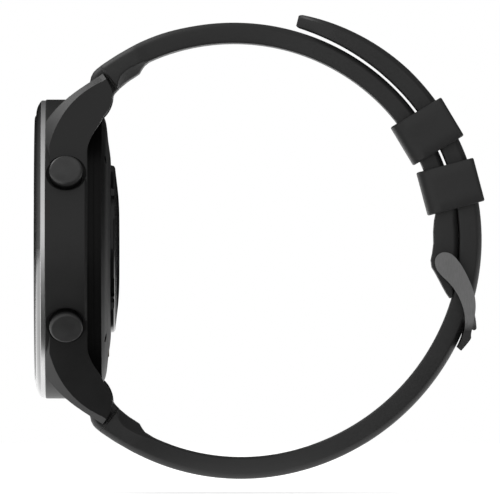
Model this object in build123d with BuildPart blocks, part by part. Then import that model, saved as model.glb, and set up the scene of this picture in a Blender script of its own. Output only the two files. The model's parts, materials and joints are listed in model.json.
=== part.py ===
from build123d import *
from math import cos, degrees, radians, sin
import os

# GPS running watch: 46 mm case, two buttons, 22 mm quick-release TPU strap buckled into a loop.
# Frame: origin at the centre of the sensor window's face, which bears on the wrist.
# +Z is 12 o'clock, +X is 3 o'clock (the button side), -Y is the way the display faces.
# A "height" is a distance from the wrist face towards the display, so height h is Y = -h.
os.makedirs("parts", exist_ok=True)

# ---------------------------------------------------------------- driving dimensions (mm)
case_radius = 23.0
glass_front = 12.97
bezel_front = 12.75
bezel_seam = 11.3
groove_front = 4.85
back_seam = 3.05
back_edge = 2.6
back_centre = 1.3
bezel_radius = 22.85
glass_radius = 20.7
neck_radius = 21.2
back_radius = 21.0
cavity_radius = 20.9
flange_bore = 18.2
flange_top = 4.2
screw_circle = 19.25
screw_head_radius = 0.62
sensor_radius = 12.9
window_radius = 10.1
window_flat = 5.0

lug_gap = 22.3
lug_pin_y = -2.75
lug_pin_z = 23.6
bar_radius = 0.75
bar_tip_radius = 0.45
bar_tip_reach = 11.9
release_travel = 1.4

button_height = 8.05
button_angle = 30.0
button_radius = 2.55
button_proud = 1.5
button_travel = 0.45
stem_radius = 0.8

strap_thick = 3.25
strap_layer_gap = 0.3
strap_width = 20.0
shoulder_width = 26.0
root_width = 21.9
loop_y = 18.9
loop_z = 1.05
loop_radius = 31.65
keeper_arc_end = 46.0
keeper_angles = {"keeper_fixed": 14.9, "keeper_sliding": 30.9}
keeper_length = 6.85
keeper_wall = 1.1

pin_y = 49.95
pin_z = -2.0
pin_radius = 0.65
hole_length = 6.4
hole_width = 3.2
hole_pitch = 8.4
hole_count = 10
tongue_hole_angle = -13.6

running = 0.06
seat = 0.05

section = Plane(origin=(0, 0, 0), x_dir=(1, 0, 0), z_dir=(0, 0, -1))


def at_height(height):
    """Plane across the case at a height, facing the display."""
    return Plane.XZ.offset(height)


def save(piece, label):
    piece.part.label = label
    export_step(piece.part, f"parts/{label}.step")


def disc(low, high, radius, inner=0.0, mode=Mode.ADD):
    """Round plate or ring about the case axis, from one height to another."""
    with BuildSketch(at_height(low)) as plate:
        Circle(radius)
        if inner:
            Circle(inner, mode=Mode.SUBTRACT)
    extrude(plate.sketch, amount=high - low, mode=mode)


def turned(points, mode=Mode.ADD):
    """Solid of revolution about the case axis from (radius, height) corners."""
    with BuildSketch(section) as profile:
        with BuildLine():
            Polyline(*points, close=True)
        make_face()
    revolve(profile.sketch, axis=Axis.Y, mode=mode)


# ---------------------------------------------------------------- lugs and mid case
slot_front = -groove_front - 0.1
lug_hole_radius = bar_tip_radius + 0.05
lug_front = 0.1 - bezel_seam
lug_start = 10.0
lug_root = (20.2, 11.0)
lug_waist = (15.75, 20.5)
lug_end = (13.6, 28.0)
lug_under = 14.0
lug_bevel_x = 14.15
lug_bevel_slope = (-0.40, 0.51)


def lug_side_outline(side):
    """Side view of a lug: crown line, rounded tip and an underside that sweeps into the groove."""
    crown = [(lug_front, 19.5), (-9.6, 21.5), (-8.05, 23.0), (-4.74, 25.4), (-2.48, 26.85)]
    tip = [(-2.48, 26.85), (-1.65, 25.6), (-1.0, 23.7), (-1.3, 21.9), (-2.37, 20.3)]
    under = [(-2.37, 20.3), (-3.2, 18.8), (-4.1, 17.4), (-4.7, 15.9), (-groove_front, lug_under)]
    for curve in (crown, tip, under):
        Spline(*[(y, side * z) for y, z in curve])
    Polyline((-groove_front, side * lug_under), (-groove_front, side * lug_start),
             (lug_front, side * lug_start), (lug_front, side * 19.5))


def lug_plan_outline(side):
    """Front view of both lugs: each side leaves the round case along its tangent."""
    for hand in (1, -1):
        root, waist, end = [(hand * x, side * z) for x, z in (lug_root, lug_waist, lug_end)]
        flank = TangentArc(root, waist, tangent=(-side * root[1] * hand, side * hand * root[0]))
        TangentArc(waist, end, tangent=flank % 1)
        Line(root, (root[0], side * lug_start))
    Line((lug_root[0], side * lug_start), (-lug_root[0], side * lug_start))
    Line((lug_end[0], side * lug_end[1]), (-lug_end[0], side * lug_end[1]))


def lug_bevel_outline(side):
    """What the bevel takes off a lug at the plane lug_bevel_x, in side view."""
    ThreePointArc((-2.46, side * 25.66), (-8.0, side * 22.48), (-12.06, side * 17.71))
    Polyline((-12.06, side * 17.71), (-13.1, side * 12.0), (-30.0, side * 12.0), (-30.0, side * 50.0),
             (8.0, side * 50.0), (8.0, side * 31.85), (-2.46, side * 25.66))


def lug_pair(side):
    """Both lugs of one end of the case, with the hood that joins them in front of the strap."""
    with BuildPart() as lugs:
        with BuildSketch(Plane.YZ):
            with BuildLine():
                lug_side_outline(side)
            make_face()
        extrude(amount=lug_root[0] + 0.5, both=True)
        with BuildSketch(at_height(-1.0)):
            with BuildLine():
                lug_plan_outline(side)
            make_face()
        extrude(amount=14.0, mode=Mode.INTERSECT)
        with BuildSketch(Plane.YZ.offset(-lug_gap / 2)):
            with Locations(((slot_front + 1.0) / 2, side * 20.0)):
                Rectangle(1.0 - slot_front, 20.0)
        extrude(amount=lug_gap, mode=Mode.SUBTRACT)
        slope_y, slope_z = lug_bevel_slope
        for hand in (1, -1):
            with BuildSketch(Plane.YZ.offset(hand * lug_bevel_x)) as bevel:
                with BuildLine():
                    lug_bevel_outline(side)
                make_face()
            for reach in (-7.0, 12.0):
                slant = Vector(-hand, slope_y, side * slope_z) * (1 if reach > 0 else -1)
                extrude(bevel.sketch, amount=abs(reach) * slant.length, dir=slant.normalized(),
                        mode=Mode.SUBTRACT)
        with BuildSketch(Plane.YZ.offset(-12.3)):
            with Locations((lug_pin_y, side * lug_pin_z)):
                Circle(lug_hole_radius)
        extrude(amount=24.6, mode=Mode.SUBTRACT)
    return lugs.part


def button_plane(side, radius):
    """Plane square to a button's axis at a distance from the case axis, facing outwards."""
    angle = radians(side * button_angle)
    out = Vector(cos(angle), 0, sin(angle))
    return Plane(origin=out * radius + Vector(0, -button_height, 0), x_dir=(0, -1, 0), z_dir=out)


def along_button(side, inner, outer, radius, bore=0.0, mode=Mode.ADD):
    """Round feature about a button's axis between two distances from the case axis."""
    with BuildSketch(button_plane(side, inner)) as round_face:
        Circle(radius)
        if bore:
            Circle(bore, mode=Mode.SUBTRACT)
    extrude(round_face.sketch, amount=outer - inner, mode=mode)


def button_dish(side):
    """Recess round a button's cap, with a soft flared rim, turned about the button's axis."""
    flare = case_radius - 0.26
    lip = flare + 0.3
    clear = case_radius + 1
    out = button_plane(side, 0.0)
    across = out.x_dir.cross(out.z_dir)
    with BuildSketch(Plane(origin=out.origin, x_dir=out.z_dir, z_dir=across)) as dish:
        with BuildLine():
            Polyline((cap_floor, 0), (cap_floor, recess_radius), (flare, recess_radius))
            ThreePointArc((flare, recess_radius), (flare + 0.1, recess_radius + 0.24),
                          (lip, recess_radius + 0.5))
            Polyline((lip, recess_radius + 0.5), (clear, recess_radius + 0.6), (clear, 0), (cap_floor, 0))
        make_face()
    revolve(dish.sketch, axis=Axis(out.origin, out.z_dir), mode=Mode.SUBTRACT)


recess_radius = button_radius + 0.09
cap_floor = case_radius - 0.7
cap_under = cap_floor + button_travel + 0.05
spring_floor = 21.5
boss_face = 20.4
clip_outer = boss_face - 0.05
stem_end = 19.85
seal_low = 20.75
seal_high = 21.2

upper_lugs = lug_pair(1)
lower_lugs = lug_pair(-1)

with BuildPart() as mid_case:
    turned([(0, back_seam), (neck_radius, back_seam), (neck_radius, groove_front - 0.9),
            (neck_radius + 0.5, groove_front - 0.9), (neck_radius + 0.5, groove_front),
            (case_radius - 0.35, groove_front), (case_radius, groove_front + 0.35),
            (case_radius, bezel_seam - 0.12), (case_radius - 0.12, bezel_seam), (0, bezel_seam)])
    add(upper_lugs)
    add(lower_lugs)
    disc(flange_top, bezel_seam + 1, cavity_radius, mode=Mode.SUBTRACT)
    disc(back_seam - 1, flange_top + 1, flange_bore, mode=Mode.SUBTRACT)
    with BuildSketch(at_height(back_seam)):
        with PolarLocations(screw_circle, 4, start_angle=45):
            Circle(0.4)
    extrude(amount=1.0, mode=Mode.SUBTRACT)
    for side in (1, -1):
        with BuildSketch(button_plane(side, boss_face)):
            Rectangle(3.6, 4.4)
        extrude(amount=1.2)
        button_dish(side)
        along_button(side, spring_floor, cap_floor + 0.1, 1.75, mode=Mode.SUBTRACT)
        along_button(side, seal_low, seal_high, 1.35, mode=Mode.SUBTRACT)
        along_button(side, boss_face - 1, spring_floor + 0.1, stem_radius + running, mode=Mode.SUBTRACT)
save(mid_case, "mid_case")

# ---------------------------------------------------------------- front of the case
ledge = 11.75
with BuildPart() as bezel_ring:
    with BuildSketch(section):
        with BuildLine():
            Polyline((19.9, ledge), (19.9, bezel_seam - 0.7), (cavity_radius - seat, bezel_seam - 0.7),
                     (cavity_radius - seat, bezel_seam), (bezel_radius, bezel_seam),
                     (bezel_radius, bezel_seam + 0.62))
            ThreePointArc((bezel_radius, bezel_seam + 0.62), (22.05, bezel_front - 0.28),
                          (glass_radius + 0.35, bezel_front))
            Polyline((glass_radius + 0.35, bezel_front), (glass_radius + seat, bezel_front - 0.1),
                     (glass_radius + seat, ledge), (19.9, ledge))
        make_face()
    revolve(axis=Axis.Y)
save(bezel_ring, "bezel_ring")

with BuildPart() as glass_gasket:
    disc(ledge, ledge + 0.1, glass_radius, 19.9)
save(glass_gasket, "glass_gasket")

with BuildPart() as cover_glass:
    with BuildSketch(section):
        with BuildLine():
            Polyline((glass_radius - 1.0, glass_front), (0, glass_front), (0, ledge + 0.1),
                     (glass_radius, ledge + 0.1), (glass_radius, glass_front - 0.3))
            ThreePointArc((glass_radius, glass_front - 0.3), (glass_radius - 0.26, glass_front - 0.08),
                          (glass_radius - 1.0, glass_front))
        make_face()
    revolve(axis=Axis.Y)
save(cover_glass, "cover_glass")

display_back = 10.8
with BuildPart() as display_module:
    disc(display_back, ledge + 0.1, 19.6)
save(display_module, "display_module")

# ---------------------------------------------------------------- inside the case
chassis_low = 9.95
board_low = 9.1
board_high = 9.9
with BuildPart() as inner_chassis:
    disc(chassis_low, display_back - 0.1, 19.7)
    disc(chassis_low - 1.5, chassis_low + 0.1, 20.7, 19.75)
    disc(chassis_low, chassis_low + 0.6, 20.7, 19.6)
    with BuildSketch(at_height(chassis_low - 1)):
        with Locations((0, -16.0)):
            SlotOverall(9.0, 2.2)
    extrude(amount=3, mode=Mode.SUBTRACT)
    for side in (1, -1):
        along_button(side, 19.72, 22.0, 3.1, mode=Mode.SUBTRACT)
save(inner_chassis, "inner_chassis")

with BuildPart() as display_flex:
    with BuildSketch(at_height(board_high)):
        with Locations((0, -16.0)):
            Rectangle(6.0, 0.3)
    extrude(amount=display_back - board_high)
save(display_flex, "display_flex")

with BuildPart() as main_board:
    disc(board_low, board_high, 18.9)
save(main_board, "main_board")

with BuildPart() as shield_cans:
    with BuildSketch(at_height(board_low - 1.2)):
        with Locations((-5.6, 3.0)):
            RectangleRounded(9.6, 11.0, 0.8)
        with Locations((6.0, 3.6)):
            RectangleRounded(10.0, 8.0, 0.8)
    extrude(amount=1.2)
save(shield_cans, "shield_cans")

with BuildPart() as gps_antenna:
    with BuildSketch(at_height(6.4)):
        Circle(20.7)
        Circle(20.1, mode=Mode.SUBTRACT)
        with Locations((0, -6.0)):
            Rectangle(60.0, 40.0, mode=Mode.SUBTRACT)
    extrude(amount=2.0)
save(gps_antenna, "gps_antenna")

battery_low = 3.45
with BuildPart() as battery:
    with BuildSketch(at_height(battery_low)):
        RectangleRounded(25.0, 24.0, 2.0)
    extrude(amount=4.2)
    fillet(battery.edges().filter_by(GeomType.CIRCLE, reverse=True).filter_by(Axis.Y, reverse=True), 0.5)
save(battery, "battery")

with BuildPart() as battery_pad:
    with BuildSketch(at_height(battery_low + 4.2)):
        RectangleRounded(22.0, 20.0, 1.0)
    extrude(amount=0.2)
save(battery_pad, "battery_pad")

motor_x = -16.2
motor_height = 5.9
motor_axis = Axis((motor_x, -motor_height, 0), (0, 0, 1))
with BuildPart() as vibration_motor:
    with BuildSketch(Plane(origin=(motor_x, -motor_height, -4.6), z_dir=(0, 0, 1))):
        Circle(1.6)
    extrude(amount=6.0)
    with BuildSketch(Plane(origin=(motor_x, -motor_height, 1.4), z_dir=(0, 0, 1))):
        Circle(0.35)
        Circle(0.2 + 0.04, mode=Mode.SUBTRACT)
    extrude(amount=0.3)
    with BuildSketch(Plane(origin=(motor_x, -motor_height, -2.0), z_dir=(0, 0, 1))):
        Circle(0.2 + 0.04)
    extrude(amount=4.0, mode=Mode.SUBTRACT)
save(vibration_motor, "vibration_motor")

with BuildPart() as motor_weight:
    with BuildSketch(Plane(origin=(motor_x, -motor_height, -1.8), z_dir=(0, 0, 1))):
        Circle(0.2)
    extrude(amount=6.2)
    with BuildSketch(Plane(origin=(motor_x, -motor_height, 1.9), x_dir=(0, 1, 0), z_dir=(0, 0, 1))):
        with BuildLine():
            CenterArc((0, 0), 1.6, 0, 180)
            Polyline((-1.6, 0), (-0.5, -0.5), (0.5, -0.5), (1.6, 0))
        make_face()
    extrude(amount=2.4)
save(motor_weight, "motor_weight")

# ---------------------------------------------------------------- back of the case
gasket_inner = 18.25
gasket_outer = 18.65
cover_hole = window_radius + 0.1
contact_radius = 1.0
contact_spots = [(-2.4, -15.6), (2.4, -15.6)]
with BuildPart() as rear_cover:
    with BuildSketch(section):
        with BuildLine():
            Polyline((cover_hole, back_centre), (sensor_radius + 0.4, back_centre))
            Spline((sensor_radius + 0.4, back_centre), (16.8, 1.72), (back_radius - 0.8, back_edge - 0.3),
                   tangents=[(1, 0.03), (1, 0.45)])
            Polyline((back_radius - 0.8, back_edge - 0.3), (back_radius, back_edge + 0.05),
                     (back_radius, back_seam),
                     (16.4, back_seam), (15.6, 2.45), (cover_hole, 2.1), (cover_hole, back_centre))
        make_face()
    revolve(axis=Axis.Y)
    disc(back_seam - 0.4, back_seam + 1, gasket_outer, gasket_inner, mode=Mode.SUBTRACT)
    with BuildSketch(at_height(0)):
        with Locations(*contact_spots):
            Circle(contact_radius)
        with PolarLocations(screw_circle, 4, start_angle=45):
            Circle(0.4)
    extrude(amount=5.0, mode=Mode.SUBTRACT)
    with BuildSketch(at_height(0)):
        with PolarLocations(screw_circle, 4, start_angle=45):
            Circle(screw_head_radius + 0.05)
    extrude(amount=2.62, mode=Mode.SUBTRACT)
save(rear_cover, "rear_cover")

with BuildPart() as rear_gasket:
    disc(back_seam - 0.4, back_seam, gasket_outer - 0.02, gasket_inner + 0.02)
save(rear_gasket, "rear_gasket")

with BuildPart() as rear_screws:
    with BuildSketch(at_height(2.28)):
        with PolarLocations(screw_circle, 4, start_angle=45):
            Circle(screw_head_radius)
    extrude(amount=0.34)
    with BuildSketch(at_height(2.6)):
        with PolarLocations(screw_circle, 4, start_angle=45):
            Circle(0.38)
    extrude(amount=1.4)
    with BuildSketch(at_height(2.2)):
        with PolarLocations(screw_circle, 4, start_angle=45):
            RegularPolygon(0.38, 6)
    extrude(amount=0.3, mode=Mode.SUBTRACT)
save(rear_screws, "rear_screws")

slot_spans = [(4.6, 9.7), (-7.3, -4.5), (-9.6, -7.6)]
with BuildPart() as sensor_ring:
    with BuildSketch(section):
        with BuildLine():
            Polyline((window_radius + seat, back_centre), (sensor_radius, back_centre),
                     (sensor_radius - 0.1, 0.85))
            ThreePointArc((sensor_radius - 0.1, 0.85), (sensor_radius - 0.35, 0.68),
                          (sensor_radius - 0.8, 0.6))
            Polyline((sensor_radius - 0.8, 0.6), (window_radius + seat, 0.36),
                     (window_radius + seat, back_centre))
        make_face()
    revolve(axis=Axis.Y)
    with BuildSketch(at_height(0.7)):
        for low, high in slot_spans:
            for hand in (1, -1):
                with Locations((hand * sensor_radius, (low + high) / 2)):
                    Rectangle(8.0, high - low)
        Circle(sensor_radius - 0.8, mode=Mode.SUBTRACT)
    extrude(amount=0.56, mode=Mode.SUBTRACT)
save(sensor_ring, "sensor_ring")

with BuildPart() as sensor_window:
    with BuildSketch(section):
        with BuildLine():
            Polyline((window_radius, 0.36), (window_radius, 1.5), (0, 1.5), (0, 0), (window_flat, 0))
            ThreePointArc((window_flat, 0), (7.6, 0.1), (window_radius, 0.36))
        make_face()
    revolve(axis=Axis.Y)
save(sensor_window, "sensor_window")

with BuildPart() as sensor_board:
    disc(2.3, 2.8, 9.9)
save(sensor_board, "sensor_board")

with BuildPart() as sensor_diodes:
    with BuildSketch(at_height(1.7)):
        with PolarLocations(5.4, 4):
            Rectangle(2.6, 2.6)
        with GridLocations(1.8, 1.8, 2, 2):
            Rectangle(1.1, 1.1)
    extrude(amount=0.6)
save(sensor_diodes, "sensor_diodes")

with BuildPart() as charge_contacts:
    with BuildSketch(at_height(1.58)):
        with Locations(*contact_spots):
            Circle(contact_radius - 0.02)
    extrude(amount=1.7)
save(charge_contacts, "charge_contacts")

# ---------------------------------------------------------------- buttons
wire = 0.14
for side, place in ((1, "upper"), (-1, "lower")):
    with BuildPart() as cap:
        along_button(side, cap_under, case_radius + button_proud, button_radius)
        fillet(cap.faces().filter_by(GeomType.PLANE).sort_by(SortBy.DISTANCE, reverse=True)[0].edges(), 0.5)
        along_button(side, stem_end, cap_under + 0.1, stem_radius)
    save(cap, f"button_{place}")

    with BuildPart() as clip:
        along_button(side, clip_outer - 0.3, clip_outer, 1.5, stem_radius)
        with BuildSketch(button_plane(side, clip_outer - 0.4)):
            with Locations((1.2, 0)):
                Rectangle(2.0, 0.9)
        extrude(amount=0.5, mode=Mode.SUBTRACT)
    save(clip, f"button_clip_{place}")

    with BuildPart() as seal:
        along_button(side, seal_low, seal_high, 1.33, stem_radius + 0.03)
    save(seal, f"button_seal_{place}")

    with BuildPart() as spring:
        coil_plane = button_plane(side, spring_floor + wire)
        coil = Helix(pitch=0.46, height=cap_under - spring_floor - 2 * wire, radius=1.3,
                     center=coil_plane.origin, direction=coil_plane.z_dir)
        with BuildSketch(Plane(origin=coil @ 0, z_dir=coil % 0)):
            Circle(wire - 0.01)
        sweep(path=coil)
    save(spring, f"button_spring_{place}")

    with BuildPart() as switch:
        with BuildSketch(button_plane(side, 17.4)):
            with Locations((0.05, 0)):
                Rectangle(2.0, 3.0)
        extrude(amount=1.8)
        along_button(side, 19.1, 19.35, 0.5)
    save(switch, f"button_switch_{place}")

# ---------------------------------------------------------------- strap middle lines
# Each band is a chain of tangent arcs (length, radius), bending one way, in the Y-Z plane.
# The two layers share one centre through the keepers, so a keeper slides along a true circle.
half = strap_thick / 2
outer_radius = loop_radius + strap_thick + strap_layer_gap
buckle_end_angle = -3.0
layer_split_angle = 12.8
buckle_runs = [(radians(keeper_arc_end - buckle_end_angle) * loop_radius, loop_radius),
               (35.9, 33.5), (13.2, 29.9)]
hole_runs = [(8.4, 30.5), (21.8, 33.55), (36.9, 35.95), (19.4, 33.6),
             (radians(keeper_arc_end - layer_split_angle) * outer_radius, outer_radius)]


def loop_point(radius, angle):
    """Point in the Y-Z plane at a radius and angle about the loop's centre."""
    return Vector(loop_y + radius * cos(radians(angle)), loop_z + radius * sin(radians(angle)))


def walk(start, heading, runs):
    """Start points and headings of a chain of left-turning arcs, and where it ends."""
    stops = [(start, heading)]
    for length, radius in runs:
        turn = length / radius
        centre = start + Vector(-sin(heading), cos(heading)) * radius
        heading += turn
        start = centre + Vector(sin(heading), -cos(heading)) * radius
        stops.append((start, heading))
    return stops


def walk_back(start, heading, runs):
    """The chain's stops when its end, and not its start, is known."""
    stops = [(start, heading)]
    for length, radius in reversed(runs):
        centre = start + Vector(-sin(heading), cos(heading)) * radius
        heading -= length / radius
        start = centre + Vector(sin(heading), -cos(heading)) * radius
        stops.append((start, heading))
    return stops[::-1]


def parallel(stops, runs, inwards):
    """Arcs at a distance inside (or outside, if negative) a band's middle line."""
    for (point, heading), (length, radius) in zip(stops, runs):
        first = point + Vector(-sin(heading), cos(heading)) * inwards
        JernArc(first, (cos(heading), sin(heading)), radius - inwards, degrees(length / radius))


def band_face(stops, runs):
    """Side outline of a band, one strap thickness wide."""
    with BuildLine() as outline:
        parallel(stops, runs, half)
        parallel(stops, runs, -half)
        for point, heading in (stops[0], stops[-1]):
            across = Vector(-sin(heading), cos(heading)) * half
            Line(point + across, point - across)
    make_face(outline.edges())


root_skin = [(-4.4, 25.75), (-4.1, 26.8), (-3.17, 27.74), (-1.38, 29.05)]


def root_face(side):
    """Side outline of a strap's root: a barrel on the spring bar, thickened to meet the band."""
    points = [(4.72, 28.57), (3.52, 27.8), (3.2, 27.0), (1.74, 26.08), (0.46, 25.12), (-1.0, 23.6)]
    with BuildLine() as outline:
        Polyline(*[(y, side * z) for y, z in points])
        ThreePointArc((-1.0, side * 23.6), (lug_pin_y, side * (lug_pin_z - 1.75)), (-4.5, side * 23.6))
        Line((-4.5, side * 23.6), (-4.4, side * 25.75))
        Spline(*[(y, side * z) for y, z in root_skin])
        Polyline((-1.38, side * 29.05), (1.0, side * 30.0), (4.72, side * 28.57))
    make_face(outline.edges())


def beyond_skin(side):
    """Side outline of everything in front of a strap root's skin."""
    with BuildLine() as outline:
        Spline(*[(y, side * z) for y, z in root_skin])
        Polyline((-1.38, side * 29.05), (-4.0, side * 33.0), (-9.0, side * 33.0), (-9.0, side * 20.0),
                 (-4.4, side * 20.0), (-4.4, side * 25.75))
    make_face(outline.edges())


def strap_plan():
    """Front outline that narrows a strap from its shoulders to its working width."""
    with BuildLine() as outline:
        for hand in (1, -1):
            Line((hand * shoulder_width / 2, -6.0), (hand * shoulder_width / 2, 1.0))
            Spline((hand * shoulder_width / 2, 1.0), (hand * 11.6, 12.0), (hand * strap_width / 2, 25.0),
                   tangents=[(0, 1), (0, 1)])
            Line((hand * strap_width / 2, 25.0), (hand * strap_width / 2, 60.0))
        Line((-shoulder_width / 2, -6.0), (shoulder_width / 2, -6.0))
        Line((-strap_width / 2, 60.0), (strap_width / 2, 60.0))
    make_face(outline.edges())


def shoulder_cut(side):
    """Side outline of what the strap leaves free for a lug tip, beyond its root's width."""
    points = [(-9.0, 16.0), (-9.0, 31.0), (-1.95, 31.0), (-1.95, 27.3),
              (-0.72, 25.2), (-0.55, 23.6), (-1.0, 20.0)]
    with BuildLine() as outline:
        Polyline(*[(y, side * z) for y, z in points], close=True)
    make_face(outline.edges())


lever_low = 5.0
lever_high = 6.6
lever_slot = (lever_low - release_travel - 0.4, lever_high + 0.4)


def root_cuts(side):
    """Lug clearance, spring bar bore and release lever window of a strap root."""
    for hand in (1, -1):
        with BuildSketch(Plane.YZ.offset(hand * root_width / 2)) as beside:
            shoulder_cut(side)
        extrude(beside.sketch, amount=hand * 4.0, mode=Mode.SUBTRACT)
    with BuildSketch(Plane.YZ.offset(-root_width / 2 - 1)) as bore:
        with Locations((lug_pin_y, side * lug_pin_z)):
            Circle(bar_radius + running)
    extrude(bore.sketch, amount=root_width + 2, mode=Mode.SUBTRACT)
    with BuildSketch(Plane.YZ.offset(lever_slot[0])) as window:
        with BuildLine():
            corners = [(lug_pin_y, 22.4), (0.5, 21.5), (0.5, 25.4), (lug_pin_y, 24.8)]
            Polyline(*[(y, side * z) for y, z in corners], close=True)
        make_face()
    extrude(window.sketch, amount=lever_slot[1] - lever_slot[0], mode=Mode.SUBTRACT)


buckle_stops = walk(loop_point(loop_radius, buckle_end_angle), radians(buckle_end_angle + 90), buckle_runs)
tail_top = loop_point(outer_radius, keeper_arc_end)
hole_stops = walk_back(tail_top, radians(keeper_arc_end + 90), hole_runs)

# ---------------------------------------------------------------- buckle strap (12 o'clock)
with BuildPart() as strap_12:
    with BuildSketch(Plane.YZ):
        band_face(buckle_stops, buckle_runs)
        with BuildLine():
            Polyline((48.9, 5.2), (48.3, 3.9), (48.4, 0.5), (47.95, -1.6), (50.0, -2.0),
                     (52.1, -0.5), (51.0, 5.2),
                     close=True)
        make_face()
        with Locations((pin_y, pin_z)):
            Circle(2.05)
        with BuildLine():
            Polyline((48.7, -3.6), (50.75, -7.8), (51.1, -7.0), (51.6, -4.4), (51.8, -2.8),
                     (50.0, -2.0), close=True)
        make_face()
    extrude(amount=shoulder_width / 2, both=True)
    with BuildSketch(Plane.XY):
        strap_plan()
    extrude(amount=45.0, both=True, mode=Mode.INTERSECT)
    with BuildSketch(Plane.YZ):
        beyond_skin(1)
    extrude(amount=shoulder_width, both=True, mode=Mode.SUBTRACT)
    with BuildSketch(Plane.YZ):
        root_face(1)
    extrude(amount=root_width / 2, both=True)
    root_cuts(1)
    with BuildSketch(Plane.YZ.offset(-20)):
        with Locations((pin_y, pin_z)):
            Circle(pin_radius + 0.01)
    extrude(amount=40.0, mode=Mode.SUBTRACT)
    with BuildSketch(Plane.YZ.offset(-1.45)):
        with Locations((pin_y + 0.3, pin_z - 2.2)):
            Rectangle(7.0, 8.8)
    extrude(amount=2.9, mode=Mode.SUBTRACT)
save(strap_12, "strap_12")

# ---------------------------------------------------------------- hole strap (6 o'clock)
def across_loop(radius, angle):
    """Plane square to a radius of the loop, with its x axis along the band."""
    spot = loop_point(radius, angle)
    out = radians(angle)
    return Plane(origin=(0, spot.X, spot.Y), x_dir=(0, -sin(out), cos(out)), z_dir=(0, cos(out), sin(out)))


tail_angle = 76.0
tail_outer = 36.1
tail_inner = 34.1
tail_corner = 6.5
hole_step = degrees(hole_pitch / outer_radius)
first_hole = tongue_hole_angle - 5 * hole_step
with BuildPart() as strap_6:
    with BuildSketch(Plane.YZ):
        band_face(hole_stops, hole_runs)
        with BuildLine():
            middle = (keeper_arc_end + tail_angle) / 2
            Line(loop_point(outer_radius - half, keeper_arc_end),
                 loop_point(outer_radius + half, keeper_arc_end))
            ThreePointArc(loop_point(outer_radius + half, keeper_arc_end), loop_point(36.55, middle),
                          loop_point(tail_outer, tail_angle))
            Line(loop_point(tail_outer, tail_angle), loop_point(tail_inner, tail_angle))
            ThreePointArc(loop_point(tail_inner, tail_angle), loop_point(33.72, middle),
                          loop_point(outer_radius - half, keeper_arc_end))
        make_face()
    extrude(amount=shoulder_width / 2, both=True)
    with BuildSketch(Plane.XY):
        strap_plan()
    extrude(amount=45.0, both=True, mode=Mode.INTERSECT)
    tip = loop_point((tail_outer + tail_inner) / 2, tail_angle)
    tip_face = strap_6.faces().sort_by_distance((0, tip.X, tip.Y))[0]
    fillet(tip_face.edges().filter_by(Axis.X, reverse=True), tail_corner)
    with BuildSketch(Plane.YZ):
        beyond_skin(-1)
    extrude(amount=shoulder_width, both=True, mode=Mode.SUBTRACT)
    with BuildSketch(Plane.YZ):
        root_face(-1)
    extrude(amount=root_width / 2, both=True)
    root_cuts(-1)
    for number in range(hole_count):
        with BuildSketch(across_loop(outer_radius - 3, first_hole + number * hole_step)):
            SlotOverall(hole_length, hole_width)
        extrude(amount=6.0, mode=Mode.SUBTRACT)
save(strap_6, "strap_6")

# ---------------------------------------------------------------- keepers
keeper_low = 28.67
keeper_high = 37.6
keeper_half_width = strap_width / 2 + 0.2 + keeper_wall
for name, angle in keeper_angles.items():
    along = radians(angle)
    middle = loop_point((keeper_low + keeper_high) / 2, angle)
    with BuildPart() as keeper:
        with BuildSketch(Plane(origin=(0, middle.X, middle.Y), x_dir=(1, 0, 0),
                               z_dir=(0, -sin(along), cos(along)))) as keeper_section:
            Rectangle(2 * keeper_half_width, keeper_high - keeper_low)
            fillet(keeper_section.vertices().group_by(Axis.Y)[0], 2.3)
            fillet(keeper_section.vertices().group_by(Axis.Y)[-1], 0.7)
        extrude(amount=keeper_length / 2, both=True)
        with BuildSketch(Plane.YZ.offset(-strap_width / 2 - 0.2)):
            with Locations(loop_point(0, 0)):
                Circle(outer_radius + half + 0.15)
                Circle(loop_radius - half - 0.17, mode=Mode.SUBTRACT)
        extrude(amount=strap_width + 0.4, mode=Mode.SUBTRACT)
    save(keeper, name)

# ---------------------------------------------------------------- spring bars
tube_end = 10.7
bore_radius = 0.55


def bar_round(side, low, high, radius, mode=Mode.ADD):
    """Round length of a spring bar between two places across the watch."""
    with BuildSketch(Plane.YZ.offset(low)) as face:
        with Locations((lug_pin_y, side * lug_pin_z)):
            Circle(radius)
    extrude(face.sketch, amount=high - low, mode=mode)


for side, clock in ((1, "12"), (-1, "6")):
    with BuildPart() as bar_tube:
        bar_round(side, -tube_end, tube_end, bar_radius)
        bar_round(side, -tube_end + 1.0, tube_end - 0.8, bore_radius, Mode.SUBTRACT)
        bar_round(side, tube_end - 1.0, tube_end + 1.0, bar_tip_radius + running, Mode.SUBTRACT)
        bar_round(side, -bar_tip_reach, -tube_end, bar_tip_radius)
        with BuildSketch(Plane.XY.offset(side * lug_pin_z - 0.5)):
            with Locations(((lever_slot[0] + lever_high + 0.15) / 2, lug_pin_y + 0.75)):
                Rectangle(lever_high + 0.15 - lever_slot[0], 1.5)
        extrude(amount=1.0, mode=Mode.SUBTRACT)
    save(bar_tube, f"spring_bar_{clock}")

    with BuildPart() as release_pin:
        bar_round(side, 3.0, bar_tip_reach, bar_tip_radius)
        bar_round(side, 3.0, tube_end - 0.95 - 0.1, bore_radius - running)
        with BuildSketch(Plane.XY.offset(side * lug_pin_z - 0.4)):
            with Locations(((lever_low + lever_high) / 2, lug_pin_y + 0.95)):
                Rectangle(lever_high - lever_low, 1.9)
        extrude(amount=0.8)
    save(release_pin, f"release_pin_{clock}")

    with BuildPart() as bar_spring:
        coil = Helix(pitch=1.5, height=12.0, radius=0.38, center=(-9.3, lug_pin_y, side * lug_pin_z),
                     direction=(1, 0, 0))
        with BuildSketch(Plane(origin=coil @ 0, z_dir=coil % 0)):
            Circle(0.08)
        sweep(path=coil)
    save(bar_spring, f"bar_spring_{clock}")

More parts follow.
